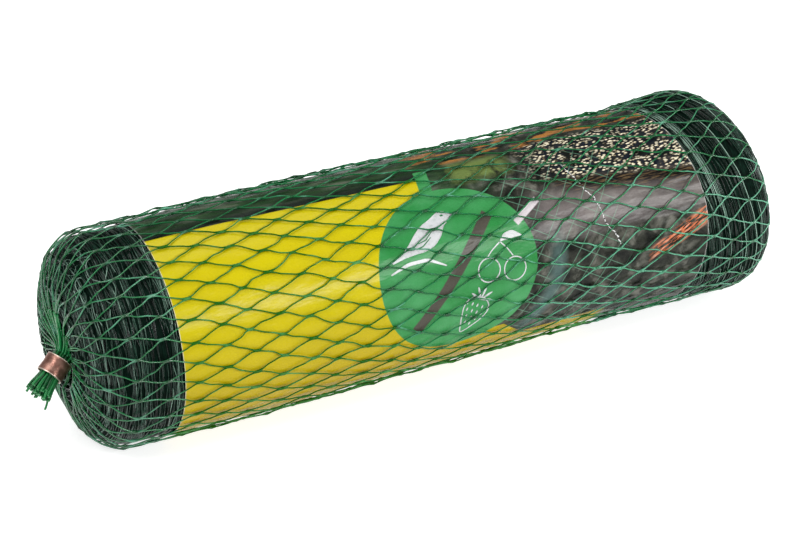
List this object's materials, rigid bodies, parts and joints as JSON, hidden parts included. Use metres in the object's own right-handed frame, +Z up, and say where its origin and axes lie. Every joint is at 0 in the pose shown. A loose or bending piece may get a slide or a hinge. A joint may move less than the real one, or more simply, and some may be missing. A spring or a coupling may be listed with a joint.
{
  "type": "mesh net bag packed with a roll of netting",
  "caption": "Roll of fine garden netting in a printed wrap-round label, packed in a diamond-mesh tubular net bag that is gathered and closed by a crimped metal clip at each end.",
  "frame": {"origin": "centre of the bounding box's bottom face, on the surface that the pack lies on", "axes": "+X along the roll from the front gathered end to the rear one, +Z up, +Y to the side away from the label's front"},
  "size_m": [0.3788, 0.1036, 0.1002],
  "materials": {
    "sleeve_net": "glossy green extruded polyethylene net strand",
    "label_print": "gloss-printed film label in yellow, green and grey-brown, paper-white on its cut edge",
    "wound_net": "fine dark green polyethylene thread with a satin sheen",
    "clip_metal": "copper-coloured lacquered strip, semi-gloss, worn brighter on its edges"
  },
  "bodies": {
    "pack": {"net_sleeve": "sleeve_net", "label_wrap": "label_print", "wound_net": "wound_net"},
    "front_neck": {"front_neck": "sleeve_net"},
    "front_closure": {"front_clip": "clip_metal", "front_tail": "sleeve_net"},
    "rear_neck": {"rear_neck": "sleeve_net"},
    "rear_closure": {"rear_clip": "clip_metal", "rear_tail": "sleeve_net"}
  },
  "joints": [
    {"name": "front_neck_bend", "type": "hinge", "parent": "pack", "child": "front_neck", "pos_m": [-0.1678, -0.0047, 0.0495], "axis": [0, 1, 0], "range_deg": [-4, 78], "stiffness_Nm_per_rad": 0.02},
    {"name": "front_clip_swing", "type": "hinge", "parent": "front_neck", "child": "front_closure", "pos_m": [-0.1678, -0.0047, 0.0495], "axis": [-0.6018, 0, 0.7986], "range_deg": [-50, 3], "stiffness_Nm_per_rad": 0.02},
    {"name": "rear_neck_bend", "type": "hinge", "parent": "pack", "child": "rear_neck", "pos_m": [0.1678, 0.0047, 0.0495], "axis": [0, -1, 0], "range_deg": [-4, 78], "stiffness_Nm_per_rad": 0.02},
    {"name": "rear_clip_swing", "type": "hinge", "parent": "rear_neck", "child": "rear_closure", "pos_m": [0.1678, 0.0047, 0.0495], "axis": [0.6018, 0, 0.7986], "range_deg": [-50, 3], "stiffness_Nm_per_rad": 0.02}
  ]
}
